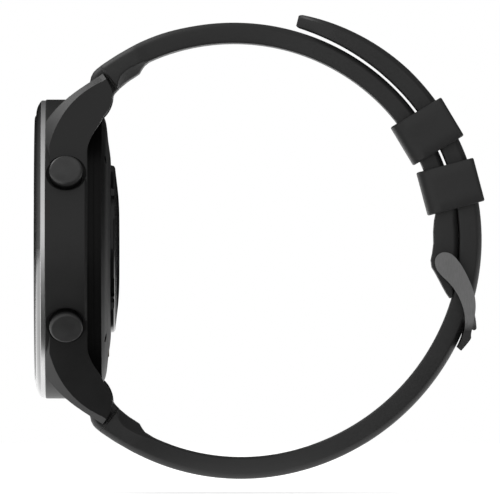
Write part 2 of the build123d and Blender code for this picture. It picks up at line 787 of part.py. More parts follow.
# ---------------------------------------------------------------- buckle
arm_inner = strap_width / 2 + 0.35
arm_outer = arm_inner + 1.4
pin_reach = arm_outer - 0.5
with BuildPart() as buckle_pin:
    with BuildSketch(Plane.YZ.offset(-pin_reach)):
        with Locations((pin_y, pin_z)):
            Circle(pin_radius)
    extrude(amount=2 * pin_reach)
save(buckle_pin, "buckle_pin")

tongue_thick = 0.8
tongue_width = 2.0
crossbar_top = -11.3
notch_floor = 54.05
with BuildPart() as buckle_frame:
    with BuildSketch(Plane.YZ.offset(-arm_outer)) as arm_side:
        with BuildLine():
            Spline((49.95, -0.5), (51.5, -1.2), (53.6, -4.5), (54.68, -9.5), (54.0, -13.3), (52.5, -15.6),
                   tangents=[(1, 0), (-0.7, -0.8)])
            Spline((51.95, -15.1), (52.55, -13.8), (53.05, -11.9), (52.3, -7.7), (50.5, -5.05), (48.75, -3.1),
                   (48.45, -2.0))
            Line((52.5, -15.6), (51.95, -15.1))
            ThreePointArc((48.45, -2.0), (48.89, -0.94), (49.95, -0.5))
        make_face()
    extrude(amount=2 * arm_outer)
    with BuildSketch(Plane.YZ.offset(-arm_inner)):
        with Locations((50.0, crossbar_top / 2 + 2)):
            Rectangle(14.0, 4 - crossbar_top)
    extrude(amount=2 * arm_inner, mode=Mode.SUBTRACT)
    with BuildSketch(Plane.YZ.offset(-arm_inner)):
        with Locations(loop_point(0, 0)):
            Circle(outer_radius + half + 0.05)
    extrude(amount=2 * arm_inner, mode=Mode.SUBTRACT)
    with BuildSketch(Plane.YZ.offset(-pin_reach - 0.05)):
        with Locations((pin_y, pin_z)):
            Circle(pin_radius + running)
    extrude(amount=2 * pin_reach + 0.1, mode=Mode.SUBTRACT)
    with BuildSketch(Plane.YZ.offset(-tongue_width / 2 - 0.15)):
        with Locations((notch_floor + 2.0, crossbar_top)):
            Rectangle(4.0, 4.0)
    extrude(amount=tongue_width + 0.3, mode=Mode.SUBTRACT)
save(buckle_frame, "buckle_frame")

with BuildPart() as buckle_tongue:
    with BuildSketch(Plane.YZ.offset(-tongue_width / 2)):
        with BuildLine():
            spine = ThreePointArc((50.4, -3.0), (53.25, -7.0), (54.55, -12.1))
            offset(amount=tongue_thick / 2, side=Side.BOTH)
        make_face()
        with Locations((pin_y, pin_z)):
            Circle(1.4)
            Circle(pin_radius + running, mode=Mode.SUBTRACT)
    extrude(amount=tongue_width)
save(buckle_tongue, "buckle_tongue")
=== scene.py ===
import json
import math

import bmesh
import bpy
from mathutils import Matrix, Vector


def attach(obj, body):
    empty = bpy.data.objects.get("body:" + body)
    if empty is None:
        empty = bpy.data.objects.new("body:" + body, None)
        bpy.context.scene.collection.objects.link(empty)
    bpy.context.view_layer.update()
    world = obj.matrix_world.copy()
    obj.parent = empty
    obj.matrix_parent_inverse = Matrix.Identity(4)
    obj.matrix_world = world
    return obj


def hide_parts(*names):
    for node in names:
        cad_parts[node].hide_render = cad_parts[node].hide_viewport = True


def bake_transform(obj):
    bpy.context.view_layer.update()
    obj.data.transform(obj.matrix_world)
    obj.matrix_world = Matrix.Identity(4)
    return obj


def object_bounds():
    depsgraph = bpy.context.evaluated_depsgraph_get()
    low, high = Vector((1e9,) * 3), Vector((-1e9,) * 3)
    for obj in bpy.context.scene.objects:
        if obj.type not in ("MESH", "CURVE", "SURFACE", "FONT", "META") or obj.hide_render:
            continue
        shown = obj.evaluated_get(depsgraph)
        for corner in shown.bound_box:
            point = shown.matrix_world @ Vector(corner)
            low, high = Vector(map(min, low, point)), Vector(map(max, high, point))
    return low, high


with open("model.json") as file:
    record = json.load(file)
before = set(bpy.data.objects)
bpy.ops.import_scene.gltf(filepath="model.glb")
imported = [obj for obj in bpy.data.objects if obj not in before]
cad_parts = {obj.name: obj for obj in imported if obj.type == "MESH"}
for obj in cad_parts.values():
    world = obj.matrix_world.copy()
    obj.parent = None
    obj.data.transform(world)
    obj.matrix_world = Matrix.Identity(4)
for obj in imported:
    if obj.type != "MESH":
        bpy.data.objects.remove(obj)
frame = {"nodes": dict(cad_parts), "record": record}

# GPS running watch. The frame is the CAD model's: +Z is 12 o'clock, +X the button side and -Y the
# way the display faces. Every size below is in metres unless it is multiplied by MM.
MM = 0.001
cad_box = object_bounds()
nodes = frame["nodes"]

# ---------------------------------------------------------------- camera, light and floor
view_centre = Vector((0.0, 20.1 * MM, -0.15 * MM))
view_width = 76.92 * MM
camera_distance = 3.6
floor_gap = 2.2 * MM          # room for the band, which dips when it swings
floor_reach = 0.9
floor_grey = 0.86
floor_glow = 0.74
flag_corners = ((0.017, -0.025), (0.85, 0.6))
flag_height = 1.0 * MM        # above the bottom of the strap
key_place = Vector((-0.30, -0.42, 0.60))
key_size = (0.40, 0.40)
key_power = 2.0


def add_camera():
    """A long lens square to the button side, so that the case is seen edge-on."""
    data = bpy.data.cameras.new("camera")
    data.sensor_width = 36.0
    data.lens = data.sensor_width * camera_distance / view_width
    data.clip_start = 0.05
    data.clip_end = 40.0
    camera = bpy.data.objects.new("camera", data)
    camera.location = view_centre + Vector((camera_distance, 0.0, 0.0))
    camera.rotation_euler = (math.pi / 2, 0.0, math.pi / 2)
    bpy.context.scene.collection.objects.link(camera)
    bpy.context.scene.camera = camera


def add_key():
    """One soft light, above the display side and beyond the case as the camera sees it."""
    data = bpy.data.lights.new("key", "AREA")
    data.shape = "RECTANGLE"
    data.size, data.size_y = key_size
    data.energy = key_power
    light = bpy.data.objects.new("key", data)
    light.location = key_place
    light.rotation_euler = (view_centre - key_place).to_track_quat("-Z", "Y").to_euler()
    bpy.context.scene.collection.objects.link(light)


def add_card(name, low_corner, high_corner, height, grey, **sockets):
    """Level card between two corners, as part of the stage."""
    (x0, y0), (x1, y1) = low_corner, high_corner
    corners = [(x0, y0, height), (x1, y0, height), (x1, y1, height), (x0, y1, height)]
    mesh = bpy.data.meshes.new(name)
    mesh.from_pydata(corners, [], [(0, 1, 2, 3)])
    card = bpy.data.objects.new(name, mesh)
    bpy.context.scene.collection.objects.link(card)
    material = bpy.data.materials.new(name)
    material.use_nodes = True
    shader = material.node_tree.nodes["Principled BSDF"]
    shader.inputs["Base Color"].default_value = (grey, grey, grey, 1)
    for socket, value in sockets.items():
        shader.inputs[socket.replace("_", " ")].default_value = value
    mesh.materials.append(material)
    return card


def add_floor():
    """Pale floor with a little light of its own, so that it meets the white background unseen."""
    add_card("floor", (-floor_reach, -floor_reach), (floor_reach, floor_reach), cad_box[0].z - floor_gap,
             floor_grey, Roughness=0.9, Specular_IOR_Level=0.1, Emission_Color=(1, 1, 1, 1),
             Emission_Strength=floor_glow)


def add_flag():
    """Black card that only reflections see. It keeps the floor out of the faces that slope down."""
    card = add_card("floor_flag", *flag_corners, cad_box[0].z + flag_height, 0.01,
                    Roughness=1.0, Specular_IOR_Level=0.0)
    card.visible_camera = False
    card.visible_diffuse = False
    card.visible_shadow = False


def add_world():
    """White to the camera. As light it is a dim studio, brightest on the button side and overhead."""
    world = bpy.data.worlds.new("studio")
    world.use_nodes = True
    tree = world.node_tree
    new = tree.nodes.new
    join = tree.links.new
    background = tree.nodes["Background"]
    direction = new("ShaderNodeTexCoord")
    parts = new("ShaderNodeSeparateXYZ")
    join(direction.outputs["Generated"], parts.inputs["Vector"])
    height = new("ShaderNodeValToRGB")
    height.color_ramp.interpolation = "B_SPLINE"
    stops = [(0.0, 0.60), (0.40, 0.60), (0.62, 0.62), (0.80, 0.68), (1.0, 0.72)]
    height.color_ramp.elements.remove(height.color_ramp.elements[1])
    for number, (place, level) in enumerate(stops):
        stop = height.color_ramp.elements[0] if number == 0 else height.color_ramp.elements.new(place)
        stop.position = place
        stop.color = (level, level, level, 1)
    join(parts.outputs["Z"], height.inputs["Fac"])
    level = height.outputs["Color"]
    for axis, low, high, dim, bright in (("X", -1.0, 0.9, 0.0, 1.42), ("Y", 0.95, 0.15, 0.3, 1.0)):
        falloff = new("ShaderNodeMapRange")
        for name, value in zip(("From Min", "From Max", "To Min", "To Max"), (low, high, dim, bright)):
            falloff.inputs[name].default_value = value
        join(parts.outputs[axis], falloff.inputs["Value"])
        dimmed = new("ShaderNodeMath")
        dimmed.operation = "MULTIPLY"
        join(level, dimmed.inputs[0])
        join(falloff.outputs["Result"], dimmed.inputs[1])
        level = dimmed.outputs["Value"]
    path = new("ShaderNodeLightPath")
    strength = new("ShaderNodeMath")
    strength.operation = "MAXIMUM"
    join(level, strength.inputs[0])
    join(path.outputs["Is Camera Ray"], strength.inputs[1])
    background.inputs["Color"].default_value = (1, 1, 1, 1)
    join(strength.outputs["Value"], background.inputs["Strength"])
    bpy.context.scene.world = world


add_camera()
add_world()
add_floor()
add_key()
add_flag()
bpy.context.scene.view_settings.view_transform = "Standard"


# ---------------------------------------------------------------- material kit
class Nodes:
    """A material's node tree with short calls for the patterns that these materials share."""

    def __init__(self, name):
        self.material = bpy.data.materials.new(name)
        self.material.use_nodes = True
        self.tree = self.material.node_tree
        self.shader = self.tree.nodes["Principled BSDF"]
        self.place = self.tree.nodes.new("ShaderNodeTexCoord").outputs["Object"]

    def join(self, output, target):
        self.tree.links.new(output, target)

    def set(self, **values):
        for name, value in values.items():
            self.shader.inputs[name.replace("_", " ")].default_value = value

    def noise(self, scale, detail=3.0, roughness=0.5, place=None):
        node = self.tree.nodes.new("ShaderNodeTexNoise")
        node.inputs["Scale"].default_value = scale
        node.inputs["Detail"].default_value = detail
        node.inputs["Roughness"].default_value = roughness
        self.join(place or self.place, node.inputs["Vector"])
        return node.outputs["Fac"]

    def cells(self, scale, feature="F1"):
        node = self.tree.nodes.new("ShaderNodeTexVoronoi")
        node.feature = feature
        node.inputs["Scale"].default_value = scale
        self.join(self.place, node.inputs["Vector"])
        return node.outputs["Distance"]

    def span(self, value, low, high, to_low, to_high):
        node = self.tree.nodes.new("ShaderNodeMapRange")
        for name, number in (("From Min", low), ("From Max", high),
                             ("To Min", to_low), ("To Max", to_high)):
            node.inputs[name].default_value = number
        self.join(value, node.inputs["Value"])
        return node.outputs["Result"]

    def math(self, action, first, second=None):
        node = self.tree.nodes.new("ShaderNodeMath")
        node.operation = action
        for socket, value in zip(node.inputs, (first, second)):
            if isinstance(value, (int, float)):
                socket.default_value = value
            elif value is not None:
                self.join(value, socket)
        return node.outputs["Value"]

    def mix(self, factor, first, second):
        """Colour between two, each a grey level, a colour or another node's output."""
        node = self.tree.nodes.new("ShaderNodeMix")
        node.data_type = "RGBA"
        self.join(factor, node.inputs[0])
        for socket, value in ((node.inputs[6], first), (node.inputs[7], second)):
            if isinstance(value, (int, float)):
                socket.default_value = (value, value, value, 1)
            elif isinstance(value, tuple):
                socket.default_value = (*value, 1)
            else:
                self.join(value, socket)
        return node.outputs[2]

    def colour(self, output):
        self.join(output, self.shader.inputs["Base Color"])

    def rough(self, output):
        self.join(output, self.shader.inputs["Roughness"])

    def bump(self, height, depth, strength=1.0):
        node = self.tree.nodes.new("ShaderNodeBump")
        node.inputs["Strength"].default_value = strength
        node.inputs["Distance"].default_value = depth
        self.join(height, node.inputs["Height"])
        self.join(node.outputs["Normal"], self.shader.inputs["Normal"])

    def split(self):
        node = self.tree.nodes.new("ShaderNodeSeparateXYZ")
        self.join(self.place, node.inputs["Vector"])
        return node.outputs["X"], node.outputs["Y"], node.outputs["Z"]

    def combine(self, x, y, z):
        node = self.tree.nodes.new("ShaderNodeCombineXYZ")
        for socket, value in zip(node.inputs, (x, y, z)):
            if isinstance(value, (int, float)):
                socket.default_value = value
            else:
                self.join(value, socket)
        return node.outputs["Vector"]

    def radius(self):
        """Distance from the case axis."""
        x, _, z = self.split()
        return self.math("SQRT", self.math("ADD", self.math("MULTIPLY", x, x), self.math("MULTIPLY", z, z)))


def grained(name, dark, light, rough_low, rough_high, grain, depth, **sockets):
    """Moulded plastic or rubber: fine even grain, with slow cloudy change of colour and gloss."""
    kit = Nodes(name)
    cloud = kit.noise(90.0, 4.0)
    fine = kit.noise(grain, 4.0, 0.6)
    tone = kit.math("ADD", kit.math("MULTIPLY", cloud, 0.65), kit.math("MULTIPLY", fine, 0.35))
    kit.colour(kit.mix(kit.span(tone, 0.35, 0.65, 0.0, 1.0), dark, light))
    kit.rough(kit.span(tone, 0.3, 0.7, rough_low, rough_high))
    kit.bump(fine, depth)
    kit.set(**sockets)
    return kit.material


def metal(name, dark, light, rough_low, rough_high, stretch, grain, depth, **sockets):
    """Machined metal: streaks along one direction, with scattered fine wear."""
    kit = Nodes(name)
    x, y, z = kit.split()
    place = kit.combine(kit.math("MULTIPLY", x, stretch[0]), kit.math("MULTIPLY", y, stretch[1]),
                        kit.math("MULTIPLY", z, stretch[2]))
    streak = kit.noise(grain, 3.0, 0.6, place)
    cloud = kit.noise(160.0, 3.0)
    tone = kit.math("ADD", kit.math("MULTIPLY", cloud, 0.5), kit.math("MULTIPLY", streak, 0.5))
    kit.colour(kit.mix(kit.span(tone, 0.35, 0.65, 0.0, 1.0), dark, light))
    kit.rough(kit.span(streak, 0.3, 0.7, rough_low, rough_high))
    kit.bump(streak, depth)
    kit.set(Metallic=1.0, **sockets)
    return kit.material


def bezel_material():
    """Stainless bezel: a bright circular-brushed wall and a smoother polished bevel up to the glass, whose
    darker colour is painted shade.
    """
    kit = Nodes("bezel_steel")
    _, y, _ = kit.split()
    rings = kit.combine(kit.radius(), y, 0.0)
    streak = kit.noise(9000.0, 2.0, 0.5, rings)
    cloud = kit.noise(120.0, 3.0)
    # bevel mask: the bevel is smoother (polished) and takes a darker colour, which is painted shade
    bevel = kit.span(y, -12.05 * MM, -11.92 * MM, 1.0, 0.0)
    tone = kit.span(kit.math("ADD", kit.math("MULTIPLY", cloud, 0.6), kit.math("MULTIPLY", streak, 0.4)),
                    0.35, 0.65, 0.0, 1.0)
    # painted shade: the bevel's steel colour is much darker than the wall's
    kit.colour(kit.mix(bevel, kit.mix(tone, 0.60, 0.70), kit.mix(tone, 0.21, 0.27)))
    kit.rough(kit.math("ADD", kit.span(bevel, 0.0, 1.0, 0.33, 0.13), kit.math("MULTIPLY", streak, 0.06)))
    kit.bump(streak, 0.002 * MM)
    kit.set(Metallic=1.0)
    return kit.material


def buckle_material():
    """Gunmetal buckle, brushed along its arms, with its crossbar coloured darker."""
    kit = Nodes("buckle_metal")
    x, y, z = kit.split()
    streak = kit.noise(1100.0, 3.0, 0.6, kit.combine(x, kit.math("MULTIPLY", y, 7.0), z))
    cloud = kit.noise(160.0, 3.0)
    tone = kit.span(kit.math("ADD", kit.math("MULTIPLY", cloud, 0.5), kit.math("MULTIPLY", streak, 0.5)),
                    0.35, 0.65, 0.0, 1.0)
    arms = kit.span(z, -12.6 * MM, -11.2 * MM, 0.0, 1.0)
    kit.colour(kit.mix(arms, kit.mix(tone, 0.045, 0.070), kit.mix(tone, 0.20, 0.27)))
    kit.rough(kit.span(streak, 0.3, 0.7, 0.30, 0.38))
    kit.bump(streak, 0.004 * MM)
    kit.set(Metallic=1.0)
    return kit.material


def turned_metal(name, dark, light, rough_low, rough_high, **sockets):
    """Turned metal: faint concentric marks about the case axis."""
    kit = Nodes(name)
    _, y, _ = kit.split()
    rings = kit.combine(kit.radius(), y, 0.0)
    streak = kit.noise(9000.0, 2.0, 0.5, rings)
    cloud = kit.noise(120.0, 3.0)
    tone = kit.math("ADD", kit.math("MULTIPLY", cloud, 0.6), kit.math("MULTIPLY", streak, 0.4))
    kit.colour(kit.mix(kit.span(tone, 0.35, 0.65, 0.0, 1.0), dark, light))
    kit.rough(kit.span(tone, 0.3, 0.7, rough_low, rough_high))
    kit.bump(streak, 0.002 * MM)
    kit.set(Metallic=1.0, **sockets)
    return kit.material


def glass_material():
    """Dark cover glass over a switched-off round display with a black printed border."""
    kit = Nodes("cover_glass")
    radius = kit.radius()
    border = kit.span(radius, 17.6 * MM, 17.7 * MM, 0.0, 1.0)
    cloud = kit.noise(140.0, 3.0)
    screen = kit.mix(kit.span(cloud, 0.3, 0.7, 0.0, 1.0), (0.0075, 0.008, 0.010), (0.010, 0.0108, 0.0135))
    kit.colour(kit.mix(border, screen, 0.003))
    kit.rough(kit.span(kit.noise(700.0, 4.0), 0.3, 0.75, 0.03, 0.07))
    kit.bump(kit.noise(60.0, 1.0), 0.002 * MM)
    kit.set(IOR=1.5, Specular_IOR_Level=0.35)
    return kit.material


def lens_material():
    """Smoked window over the heart-rate sensor, with paler ports over the diodes."""
    kit = Nodes("sensor_lens")
    radius = kit.radius()
    ports = kit.math("MULTIPLY", kit.span(radius, 3.4 * MM, 3.7 * MM, 0.0, 1.0),
                     kit.span(radius, 7.0 * MM, 7.3 * MM, 1.0, 0.0))
    centre = kit.span(radius, 1.9 * MM, 2.1 * MM, 1.0, 0.0)
    cloud = kit.noise(300.0, 3.0)
    tint = kit.mix(kit.math("ADD", kit.math("MULTIPLY", ports, 0.55), centre), (0.004, 0.004, 0.005),
                   (0.020, 0.008, 0.009))
    kit.colour(kit.mix(kit.span(cloud, 0.3, 0.7, 0.0, 0.35), tint, 0.006))
    kit.rough(kit.span(cloud, 0.3, 0.7, 0.05, 0.11))
    kit.bump(kit.noise(80.0, 1.0), 0.002 * MM)
    kit.set(IOR=1.5, Coat_Weight=0.3, Coat_Roughness=0.03)
    return kit.material


def case_material():
    """Fine-blasted black polymer, with painted shade in the groove behind the case: the colour there is darker
    and the specular lower.
    """
    kit = Nodes("case_polymer")
    cloud = kit.noise(110.0, 4.0)
    fine = kit.noise(6500.0, 4.0, 0.65)
    _, y, _ = kit.split()
    # painted shade: mask of the groove behind the case and the space inside it
    groove = kit.math("MULTIPLY", kit.span(y, -4.85 * MM, -4.65 * MM, 0.0, 1.0),
                      kit.span(kit.radius(), 22.2 * MM, 22.7 * MM, 1.0, 0.0))
    tone = kit.math("ADD", kit.math("MULTIPLY", cloud, 0.6), kit.math("MULTIPLY", fine, 0.4))
    body = kit.mix(kit.span(tone, 0.35, 0.65, 0.0, 1.0), 0.0075, 0.0115)
    # painted shade: the groove is coloured near black
    kit.colour(kit.mix(groove, body, 0.004))
    kit.rough(kit.span(tone, 0.3, 0.7, 0.40, 0.50))
    kit.bump(fine, 0.012 * MM, 0.7)
    kit.join(kit.span(groove, 0.0, 1.0, 0.34, 0.10), kit.shader.inputs["Specular IOR Level"])
    return kit.material


def button_material():
    """Anodised button: satin face, and a side wall coloured near black as painted shade."""
    kit = Nodes("button_metal")
    fine = kit.noise(5200.0, 3.0)
    cloud = kit.noise(240.0, 3.0)
    # painted shade: mask of the side wall below the cap, which is coloured near black
    wall = kit.span(kit.radius(), 23.62 * MM, 24.0 * MM, 1.0, 0.0)
    face = kit.mix(kit.span(cloud, 0.35, 0.65, 0.0, 1.0), 0.042, 0.056)
    kit.colour(kit.mix(wall, face, 0.004))
    kit.rough(kit.span(fine, 0.3, 0.7, 0.34, 0.44))
    kit.bump(fine, 0.006 * MM)
    kit.set(Metallic=0.55, Specular_IOR_Level=0.4)
    return kit.material


def board_material():
    """Matt black solder mask over copper tracks."""
    kit = Nodes("circuit_board")
    x, y, z = kit.split()
    step = 1.3 * MM
    grid = kit.combine(kit.math("SNAP", x, step), kit.math("SNAP", y, step), kit.math("SNAP", z, step / 2))
    block = kit.noise(420.0, 2.0, 0.5, grid)
    track = kit.math("GREATER_THAN", block, 0.52)
    pads = kit.math("LESS_THAN", kit.cells(700.0), 0.16)
    mask = kit.mix(track, (0.006, 0.016, 0.012), (0.010, 0.030, 0.020))
    kit.colour(kit.mix(pads, mask, (0.42, 0.30, 0.10)))
    kit.rough(kit.span(block, 0.3, 0.7, 0.35, 0.55))
    kit.bump(track, 0.02 * MM)
    return kit.material


def wrapped_foil(name, dark, light):
    """Crinkled foil wrap."""
    kit = Nodes(name)
    crease = kit.cells(260.0, "DISTANCE_TO_EDGE")
    fine = kit.noise(900.0, 4.0)
    kit.colour(kit.mix(kit.span(fine, 0.3, 0.7, 0.0, 1.0), dark, light))
    kit.rough(kit.span(fine, 0.3, 0.7, 0.25, 0.5))
    kit.bump(kit.math("ADD", crease, kit.math("MULTIPLY", fine, 0.2)), 0.08 * MM)
    kit.set(Metallic=0.8)
    return kit.material


def strap_material():
    """Soft-touch TPU: very fine matt grain, faint flow clouds and a trace of sheen."""
    kit = Nodes("strap_tpu")
    cloud = kit.noise(70.0, 5.0)
    fine = kit.noise(5200.0, 5.0, 0.7)
    pores = kit.span(kit.cells(3400.0), 0.0, 0.35, 0.0, 1.0)
    tone = kit.math("ADD", kit.math("MULTIPLY", cloud, 0.6), kit.math("MULTIPLY", fine, 0.4))
    kit.colour(kit.mix(kit.span(tone, 0.36, 0.64, 0.0, 1.0), 0.0112, 0.0160))
    kit.rough(kit.span(tone, 0.3, 0.7, 0.48, 0.60))
    relief_map = kit.math("ADD", kit.math("MULTIPLY", fine, 0.7), kit.math("MULTIPLY", pores, 0.3))
    kit.bump(relief_map, 0.02 * MM, 0.8)
    kit.set(Specular_IOR_Level=0.45, Sheen_Weight=0.05, Sheen_Roughness=0.4)
    return kit.material


materials = {
    "case_polymer": case_material(),
    "bezel_steel": bezel_material(),
    "cover_glass": glass_material(),
    "seal_rubber": grained("seal_rubber", 0.008, 0.013, 0.60, 0.75, 3500.0, 0.01 * MM),
    "display_panel": grained("display_panel", 0.010, 0.014, 0.15, 0.25, 2400.0, 0.004 * MM,
                             Coat_Weight=0.3),
    "chassis_polymer": grained("chassis_polymer", 0.030, 0.045, 0.45, 0.60, 2600.0, 0.02 * MM),
    "circuit_board": board_material(),
    "shield_metal": metal("shield_metal", 0.45, 0.58, 0.25, 0.42, (1, 1, 6), 900.0, 0.01 * MM),
    "battery_wrap": wrapped_foil("battery_wrap", (0.32, 0.33, 0.35), (0.46, 0.47, 0.49)),
    "foam_pad": grained("foam_pad", 0.05, 0.09, 0.80, 0.95, 1500.0, 0.08 * MM),
    "antenna_copper": metal("antenna_copper", (0.55, 0.26, 0.12), (0.72, 0.36, 0.18), 0.22, 0.38,
                            (1, 8, 1), 700.0, 0.01 * MM),
    "contact_gold": turned_metal("contact_gold", (0.75, 0.52, 0.20), (0.90, 0.66, 0.30), 0.16, 0.26),
    "flex_film": grained("flex_film", (0.20, 0.07, 0.015), (0.32, 0.12, 0.03), 0.25, 0.40, 2200.0,
                         0.01 * MM),
    "motor_can": metal("motor_can", 0.38, 0.50, 0.20, 0.34, (6, 6, 1), 800.0, 0.01 * MM),
    "weight_metal": metal("weight_metal", 0.22, 0.32, 0.35, 0.50, (1, 1, 5), 900.0, 0.02 * MM),
    "sensor_housing": grained("sensor_housing", 0.004, 0.007, 0.16, 0.26, 2600.0, 0.004 * MM,
                              Coat_Weight=0.2, Coat_Roughness=0.12, Specular_IOR_Level=0.25),
    "sensor_lens": lens_material(),
    "diode_package": grained("diode_package", (0.30, 0.34, 0.28), (0.42, 0.48, 0.38), 0.20, 0.35,
                             2600.0, 0.01 * MM),
    "button_metal": button_material(),
    "spring_steel": metal("spring_steel", 0.40, 0.52, 0.22, 0.34, (6, 1, 1), 900.0, 0.004 * MM),
    "strap_tpu": strap_material(),
    "buckle_metal": buckle_material(),
}


def dress_frame():
    """Gives each CAD node the material of its slot in the record."""
    for part in frame["record"]["subparts"]:
        mesh = nodes[part["node"]].data
        mesh.materials.clear()
        mesh.materials.append(materials[part["material_slot"]])


# ---------------------------------------------------------------- mesh kit (these lengths are in mm)
smooth_angle = 32.0
carved_smooth_angle = 38.0
weld_distance = 0.002 * MM


def mesh_object(name, points, faces):
    """Object from points in mm, shaded smooth but for its sharper edges."""
    mesh = bpy.data.meshes.new(name)
    mesh.from_pydata([tuple(value * MM for value in point) for point in points], [], faces)
    form = bmesh.new()
    form.from_mesh(mesh)
    bmesh.ops.recalc_face_normals(form, faces=form.faces)
    form.to_mesh(mesh)
    form.free()
    mesh.shade_smooth()
    mesh.set_sharp_from_angle(angle=math.radians(smooth_angle))
    thing = bpy.data.objects.new(name, mesh)
    bpy.context.scene.collection.objects.link(thing)
    return thing


def loft(rings):
    """Points and faces of a closed solid through rings of equal length, capped at both ends."""
    count = len(rings[0])
    points = [point for ring in rings for point in ring]
    faces = [tuple(range(count))[::-1], tuple(range(len(points) - count, len(points)))]
    for row in range(len(rings) - 1):
        for place in range(count):
            after = (place + 1) % count
            base = row * count
            faces.append((base + place, base + after, base + count + after, base + count + place))
    return points, faces


def carve(thing, cutters):
    """Cuts solids out of an object for good, and removes them."""
    for cutter in cutters:
        cut = thing.modifiers.new("cut", "BOOLEAN")
        cut.operation = "DIFFERENCE"
        cut.solver = "EXACT"
        cut.object = cutter
    bpy.context.view_layer.update()
    result = bpy.data.meshes.new_from_object(thing.evaluated_get(bpy.context.evaluated_depsgraph_get()))
    thing.modifiers.clear()
    old = thing.data
    thing.data = result
    bpy.data.meshes.remove(old)
    for cutter in cutters:
        bpy.data.objects.remove(cutter)
    form = bmesh.new()
    form.from_mesh(result)
    bmesh.ops.remove_doubles(form, verts=form.verts, dist=weld_distance)
    bmesh.ops.recalc_face_normals(form, faces=form.faces)
    form.to_mesh(result)
    form.free()
    result.shade_smooth()
    result.set_sharp_from_angle(angle=math.radians(carved_smooth_angle))


# ---------------------------------------------------------------- strap middle lines, as in the CAD model
strap_thick = 3.25
half = strap_thick / 2
loop_centre = Vector((18.9, 1.05))
loop_radius = 31.65
layer_gap = 0.3
outer_radius = loop_radius + strap_thick + layer_gap
keeper_arc_end = 46.0
buckle_end_angle = -3.0
layer_split_angle = 12.8
buckle_runs = [(math.radians(keeper_arc_end - buckle_end_angle) * loop_radius, loop_radius), (35.9, 33.5),
               (13.2, 29.9)]
hole_runs = [(8.4, 30.5), (21.8, 33.55), (36.9, 35.95), (19.4, 33.6),
             (math.radians(keeper_arc_end - layer_split_angle) * outer_radius, outer_radius)]


def loop_point(radius, angle):
    turn = math.radians(angle)
    return loop_centre + radius * Vector((math.cos(turn), math.sin(turn)))


def heading_line(heading):
    return Vector((math.cos(heading), math.sin(heading)))


def inward(heading):
    """Direction square to a band's heading, towards the wrist."""
    return Vector((-math.sin(heading), math.cos(heading)))


def chain_start(end, heading, runs):
    """Where a chain of left-turning arcs starts, when its end is known."""
    for length, radius in reversed(runs):
        centre = end + inward(heading) * radius
        heading -= length / radius
        end = centre - inward(heading) * radius
    return end, heading


def chain_at(start, heading, runs, distance):
    """Point and heading at a distance along a chain of left-turning arcs."""
    for number, (length, radius) in enumerate(runs):
        step = distance if number == len(runs) - 1 else min(distance, length)
        centre = start + inward(heading) * radius
        heading += step / radius
        start = centre - inward(heading) * radius
        distance -= step
        if distance <= 0:
            break
    return start, heading


shoulder_half = 13.0
band_half = 10.0
taper_start = 1.0
taper_end = 25.0


def plan_half_width(y):
    """Half width of a strap at a place in front view: broad shoulders that ease into the band."""
    share = min(1.0, max(0.0, (y - taper_start) / (taper_end - taper_start)))
    return shoulder_half - (shoulder_half - band_half) * (1.45 * share - 0.45 * share ** 3)


bevel_width = 1.45
bevel_side = 0.85
inner_round = 0.3
inner_flat = 0.6              # how far the inner face's flat stays inside the side


def strap_ring(outer, side_end, inner, width, block_width, scale=1.0):
    """Section of a strap across a rung from its outer to its inner surface, as a ring of points.

    The outer face domes down to a bevel line, the side is flat, and the inner edge is rounded.
    A block that stands on the inner face has sloping sides from side_end to inner.
    """
    down = inner - outer
    deep = down.length
    down.normalize()
    side_deep = min((side_end - outer).length, deep)
    rim = min(0.15, deep - side_deep)
    bevel = bevel_width * scale
    edge = bevel_side * scale
    soft = inner_round * scale
    lift = 0.02 * scale
    right = [(0.0, -lift), (0.34 * width, -0.75 * lift), (0.68 * width, 0.0), (width - bevel, 1.5 * lift),
             (width - 0.66 * bevel, 0.14 * edge), (width - 0.36 * bevel, 0.38 * edge),
             (width - 0.14 * bevel, 0.68 * edge), (width - 0.05 * scale, 0.89 * edge),
             (width - 0.012 * scale, edge), (width, 1.12 * edge),
             (width, (1.12 * edge + side_deep - 1.27 * soft) / 2),
             (width, side_deep - 1.27 * soft), (width - 0.07 * soft, side_deep - 0.7 * soft),
             (width - 0.33 * soft, side_deep - 0.25 * soft), (width - 0.9 * soft, side_deep),
             (block_width, deep - rim), (block_width - 0.22, deep), (0.6 * block_width, deep),
             (0.3 * block_width, deep), (0.0, deep)]
    ring = []
    for x, depth in right + [(-x, depth) for x, depth in right[-2:0:-1]]:
        place = outer + down * depth
        ring.append((x, place.x, place.y))
    return ring


lug_pin = (-2.75, 23.6)

